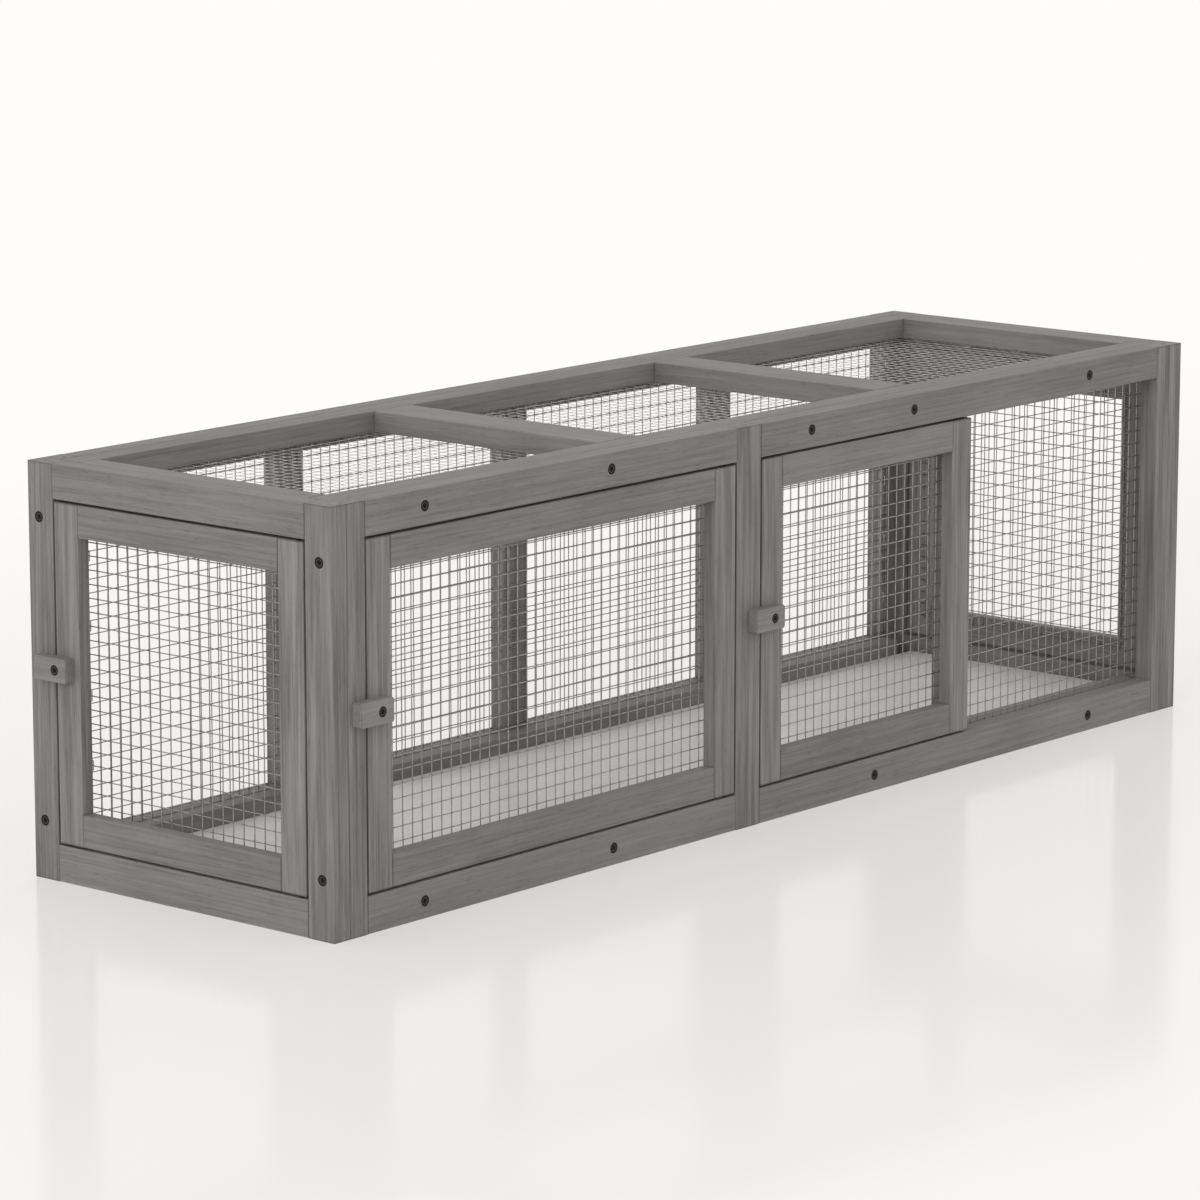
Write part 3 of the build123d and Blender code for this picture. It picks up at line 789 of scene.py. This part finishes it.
class PETRUN_OT_lay_mesh(bpy.types.Operator):
    """Lays round welded wires in place of each plain mesh sheet"""
    bl_idname = "petrun.lay_mesh"
    bl_label = "Lay the Welded Mesh"

    def execute(self, context):
        wire = context.scene.petrun_wire
        zinc = dull_zinc("galvanised_wire", wire.colour, "weld")
        # Painted light: the roof's wire is the same zinc, painted paler as lit from above
        lit_roof_zinc = dull_zinc("lit_roof_wire", wire.roof_lit_colour, "weld")
        rng = np.random.default_rng(WIRE_SEED)
        for node, (wall, _, belly) in SHEETS.items():
            span = reach(node, wall)
            thick, finish = (wire.roof_thick, lit_roof_zinc) if wall == "roof" else (wire.thick, zinc)
            shape = wire_sheet(span, wire.pitch, wire.selvage, thick, belly, wire.sway, WIRE_SIDES, rng)
            points, faces, welds = shape
            points = points @ np.array(WALLS[wall], float)
            name = node.replace("_mesh", "_wires")
            piece = make_piece(name, points, faces, finish, body_of(node), "galvanised_wire", [node])
            add_layer(piece, "weld", welds)
        return {"FINISHED"}


class PETRUN_OT_bend_staples(bpy.types.Operator):
    """Sets bent wire staples along the edges of the mesh, in place of the plain ones"""
    bl_idname = "petrun.bend_staples"
    bl_label = "Bend the Staples"

    def inset(self, low, first, staples):
        """How far a staple sits from a sheet's edge, on the clear side of the first wire."""
        margin = first - low
        if margin + staples.clear + staples.thick < staples.lap:
            return margin + staples.clear
        return margin - staples.clear

    def places(self, node, wire, staples):
        """The middles and directions of a sheet's staples, in the row's own axes."""
        wall, sides, _ = SHEETS[node]
        (u_low, u_high), (v_low, v_high), (w_low, _) = reach(node, wall)
        axes = np.array(WALLS[wall], float)
        columns = wire_places(u_low, u_high, wire.pitch, wire.selvage)
        rows = wire_places(v_low, v_high, wire.pitch, wire.selvage)
        side_in = self.inset(u_low, columns[0], staples)
        end_in = self.inset(v_low, rows[0], staples)
        found = []
        upright = np.array([axes[1], -axes[0], axes[2]])
        for row in rows[FIRST_STAPLE:-1:staples.every]:
            for letter, u in (("l", u_low + side_in), ("r", u_high - side_in)):
                if letter in sides:
                    found.append(((u, row, w_low + wire.thick), upright))
        for column in columns[FIRST_STAPLE:-1:staples.every]:
            for letter, v in (("t", v_low + end_in), ("b", v_high - end_in)):
                if letter in sides:
                    found.append(((column, v, w_low + 2 * wire.thick), axes))
        return [np.array(place) @ axes for place, _ in found], [turn for _, turn in found]

    def execute(self, context):
        wire = context.scene.petrun_wire
        staples = context.scene.petrun_staples
        steel = dull_zinc("staple_steel", STAPLE_COLOUR, None)
        shape = staple_shape(staples.thick, staples.span, staples.leg, WIRE_SIDES)
        groups = {"frame_staples": ["front_fixed_mesh", "back_mesh", "roof_mesh"]}
        groups.update({door + "_fasteners": [door + "_mesh"] for door in DOORS})
        for node, sheets in groups.items():
            found = [self.places(sheet, wire, staples) for sheet in sheets]
            places = [place for places, _ in found for place in places]
            turns = [turn for _, turns in found for turn in turns]
            points, faces = repeat(shape, places, turns)
            name = node.replace("_fasteners", "_staples").replace("frame_staples", "frame_bent_staples")
            make_piece(name, points, faces, steel, body_of(node), "bright_steel", [node])
        return {"FINISHED"}


class PETRUN_OT_drive_screws(bpy.types.Operator):
    """Drives the frame's screws, each in a ring of painted shade, and the turn buttons' screws"""
    bl_idname = "petrun.drive_screws"
    bl_label = "Drive the Screws"

    def execute(self, context):
        screws = context.scene.petrun_screws
        black = black_oxide("black_screw", screws.colour)
        ends = [side + "_end_" for side in ("left", "right")]
        stiles = [end + place + "_stile" for end in ends for place in ("front", "back")]
        groups = {"left": END_SCREWS, "right": END_SCREWS, "front": FRONT_SCREWS, "back": BACK_SCREWS}
        places, turns = [], []
        for wall, spots in groups.items():
            axes = np.array(WALLS[wall], float)
            start = np.min([reach(stile, wall)[:, 0] for stile in stiles], axis=0)
            for u, v in spots:
                places.append((start + (u / PER_METRE, v / PER_METRE, screws.sunk)) @ axes)
                turns.append(axes * [[1], [-1], [-1]])
        shape = screw_shape(screws.head_radius, screws.reach_in, SCREW_SIDES)
        points, faces = repeat(shape, places, turns)
        finish = (black, "frame", "black_screw")
        piece = make_piece("frame_black_screws", points, faces, *finish, ["frame_screws"], SHARP_OVER)
        add_layer(piece, "wear_and_sheen", np.tile(shape[2], len(places)))
        seat, mouth, skin = screws.seat_radius, screws.countersink, SKIN * MM
        slope = np.array([[seat, screws.sunk - mouth], [seat + mouth, screws.sunk]])
        section = np.concatenate([slope + (-skin, 0), slope[::-1] + (2 * skin, -2 * skin)])
        points, faces = repeat(seat_ring_shape(section[::-1], SCREW_SIDES), places, turns)
        # Painted shade: the chamfer round each head is painted near-black, as if in shadow
        soaked = plain_wood("shaded_seat_ring", screws.seat_shade_colour)
        make_piece("screw_seat_rings", points, faces, soaked, "frame", "grey_stained_wood")

        shape = screw_shape(screws.head_radius, screws.button_reach_in, SCREW_SIDES)
        for joint in frame["joints"]:
            if not joint["name"].endswith("_button_turn"):
                continue
            door = joint["parent"]
            axes = np.array(WALLS[DOORS[door]], float)
            face = reach(door + "_turn_button", DOORS[door])[2, 0]
            place = axes @ np.array(joint["pos_m"], float)
            place[2] = face
            points, faces = repeat(shape, [place @ axes], [axes * [[1], [-1], [-1]]])
            name = door + "_button_screw"
            finish = (black, door, "black_screw")
            piece = make_piece(name, points, faces, *finish, [door + "_fasteners"], SHARP_OVER)
            add_layer(piece, "wear_and_sheen", shape[2])
        return {"FINISHED"}


class PETRUN_OT_shade_pins(bpy.types.Operator):
    """Paints the door pivots near-black, as painted shade in the gaps they sit in"""
    bl_idname = "petrun.plate_pins"
    bl_label = "Shade the Pivot Pins"

    def execute(self, context):
        # Painted shade: the pins are bright steel, painted near-black as if in their gaps' shadow
        dress("hinge_pins", dull_zinc("shaded_pin_steel", PIN_SHADE_COLOUR, None))
        return {"FINISHED"}


# The stage: white as the camera sees it, and the sky's own light
WHITE, SKY_COLOUR = (1.0, 0.985, 0.965, 1), (1.0, 0.995, 0.985, 1)

# The floor: half its width in metres and its points along a side; the oval in which it melts into
# the background, the distances between which it does, and how white the camera finds its middle
FLOOR_HALF, FLOOR_POINTS = 14.0, 29
FADE_OVAL, FADE_RANGE, MIDDLE_WHITE = (0.5, 1.0, 1.0), (0.4, 2.1), 0.42
FLOOR_ROUGHNESS, FLOOR_SHINE = 0.13, 0.5

# How high the sky starts to weaken, as the height of a unit direction
WEAKER_FROM = 0.25

# The side lamp: where it hangs and what it faces, and its size in metres and power in watts
LAMP_PLACE, LAMP_TARGET, LAMP_SIZE, LAMP_POWER = (-4.6, -1.0, 1.9), (0, 0, 0.2), 2.4, 42

# The camera's sensor in millimetres
SENSOR_WIDTH = 36


class PETRUN_OT_set_stage(bpy.types.Operator):
    """Makes the pale floor, the soft lights and the camera"""
    bl_idname = "petrun.set_stage"
    bl_label = "Set the Stage"

    def floor(self, stage):
        """A flat grid whose pale colour melts into the white background away from the run."""
        count = FLOOR_POINTS
        line = np.linspace(-FLOOR_HALF, FLOOR_HALF, count)
        x, y = np.meshgrid(line, line)
        points = np.stack([x, y, np.zeros_like(x)], -1).reshape(-1, 3)
        corner = (np.arange(count - 1)[:, None] * count + np.arange(count - 1)).reshape(-1, 1)
        faces = (corner + [0, 1, count + 1, count]).tolist()
        mesh = bpy.data.meshes.new("pale_floor")
        mesh.from_pydata(points.tolist(), [], faces)
        material, tree, shader = new_finish("pale_floor")
        where = put(tree, "ShaderNodeTexCoord").outputs["Object"]
        oval = put(tree, "ShaderNodeMapping", {"Vector": where, "Scale": FADE_OVAL}).outputs[0]
        away = put(tree, "ShaderNodeVectorMath", {0: oval}, operation="LENGTH").outputs["Value"]
        fade = spread(tree, away, *FADE_RANGE, 0, 1)
        fade = put(tree, "ShaderNodeMapRange", {"Value": fade}, interpolation_type="SMOOTHSTEP")
        path = put(tree, "ShaderNodeLightPath")
        shader.inputs["Base Color"].default_value = (*stage.floor_colour, 1)
        shader.inputs["Roughness"].default_value = FLOOR_ROUGHNESS
        shader.inputs["Specular IOR Level"].default_value = FLOOR_SHINE
        white = put(tree, "ShaderNodeEmission", {"Color": WHITE, "Strength": 1.0})
        seen = sum_up(tree, "MAXIMUM", path.outputs["Is Camera Ray"], path.outputs["Is Glossy Ray"])
        amount = spread(tree, fade.outputs[0], 0, 1, MIDDLE_WHITE, 1)
        amount = sum_up(tree, "MULTIPLY", amount, seen)
        mix = put(tree, "ShaderNodeMixShader", {0: amount, 1: shader.outputs[0], 2: white.outputs[0]})
        tree.links.new(mix.outputs[0], tree.nodes["Material Output"].inputs["Surface"])
        mesh.materials.append(material)
        floor = bpy.data.objects.new("pale_floor", mesh)
        bpy.context.scene.collection.objects.link(floor)

    def world(self, stage):
        """Even light from all round, weaker from high up; the camera and reflections see white."""
        world = bpy.data.worlds.new("soft_room")
        world.use_nodes = True
        tree = world.node_tree
        light = tree.nodes["Background"]
        light.inputs["Color"].default_value = SKY_COLOUR
        direction = put(tree, "ShaderNodeTexCoord").outputs["Generated"]
        up = put(tree, "ShaderNodeSeparateXYZ", {"Vector": direction}).outputs["Z"]
        strength = spread(tree, up, WEAKER_FROM, 1.0, stage.sky, stage.sky * stage.zenith)
        tree.links.new(strength, light.inputs["Strength"])
        white = put(tree, "ShaderNodeBackground", {"Color": WHITE, "Strength": 1.0})
        path = put(tree, "ShaderNodeLightPath")
        seen = sum_up(tree, "MAXIMUM", path.outputs["Is Camera Ray"], path.outputs["Is Glossy Ray"])
        mix = put(tree, "ShaderNodeMixShader", {0: seen, 1: light.outputs[0], 2: white.outputs[0]})
        tree.links.new(mix.outputs[0], tree.nodes["World Output"].inputs["Surface"])
        bpy.context.scene.world = world

    def lamp(self, name, place, target, size, power):
        """A square soft lamp that faces a point."""
        data = bpy.data.lights.new(name, "AREA")
        data.size = size
        data.energy = power
        lamp = bpy.data.objects.new(name, data)
        lamp.location = place
        aim = np.array(target, float) - np.array(place, float)
        flat = math.hypot(aim[0], aim[1])
        lamp.rotation_euler = (math.atan2(flat, -aim[2]), 0, math.atan2(aim[1], aim[0]) - math.pi / 2)
        bpy.context.scene.collection.objects.link(lamp)

    def execute(self, context):
        scene = context.scene
        stage = scene.petrun_stage
        self.floor(stage)
        self.world(stage)
        self.lamp("side_lamp", LAMP_PLACE, LAMP_TARGET, LAMP_SIZE, LAMP_POWER)
        camera = bpy.data.objects.new("camera", bpy.data.cameras.new("camera"))
        camera.data.lens = stage.lens
        camera.data.sensor_width = SENSOR_WIDTH
        camera.location = stage.camera_place
        camera.rotation_euler = (math.radians(90 + stage.tilt), 0, math.radians(stage.heading - 90))
        scene.collection.objects.link(camera)
        scene.camera = camera
        scene.view_settings.view_transform = "Standard"
        return {"FINISHED"}


class PETRUN_PT_sidebar(bpy.types.Panel):
    """Sizes, colours and steps of the pet run"""
    bl_idname = "PETRUN_PT_sidebar"
    bl_label = "Pet Run"
    bl_space_type = "VIEW_3D"
    bl_region_type = "UI"
    bl_category = "Pet Run"

    def draw(self, context):
        for settings, operators in STEPS:
            box = self.layout.box()
            group = getattr(context.scene, settings)
            for key in group.bl_rna.properties.keys():
                if key not in ("rna_type", "name"):
                    box.prop(group, key)
            for operator in operators:
                box.operator(operator)


STEPS = (
    ("petrun_timber", ["petrun.stain_boards"]),
    ("petrun_wire", ["petrun.lay_mesh"]),
    ("petrun_staples", ["petrun.bend_staples"]),
    ("petrun_screws", ["petrun.drive_screws", "petrun.plate_pins"]),
    ("petrun_stage", ["petrun.set_stage"]),
)
SETTINGS = {
    "petrun_timber": TimberSettings,
    "petrun_wire": WireSettings,
    "petrun_staples": StapleSettings,
    "petrun_screws": ScrewSettings,
    "petrun_stage": StageSettings,
}
OTHERS = (
    PETRUN_OT_stain_boards,
    PETRUN_OT_lay_mesh,
    PETRUN_OT_bend_staples,
    PETRUN_OT_drive_screws,
    PETRUN_OT_shade_pins,
    PETRUN_OT_set_stage,
    PETRUN_PT_sidebar,
)


def register():
    """Adds the settings, operators and panel."""
    for name, group in SETTINGS.items():
        bpy.utils.register_class(group)
        setattr(bpy.types.Scene, name, bpy.props.PointerProperty(type=group))
    for item in OTHERS:
        bpy.utils.register_class(item)


def unregister():
    """Takes the settings, operators and panel away again."""
    for item in reversed(OTHERS):
        bpy.utils.unregister_class(item)
    for name, group in SETTINGS.items():
        delattr(bpy.types.Scene, name)
        bpy.utils.unregister_class(group)


def main():
    """Runs every step in order."""
    register()
    bpy.ops.petrun.stain_boards()
    bpy.ops.petrun.lay_mesh()
    bpy.ops.petrun.bend_staples()
    bpy.ops.petrun.drive_screws()
    bpy.ops.petrun.plate_pins()
    bpy.ops.petrun.set_stage()


if __name__ == "__main__":
    main()
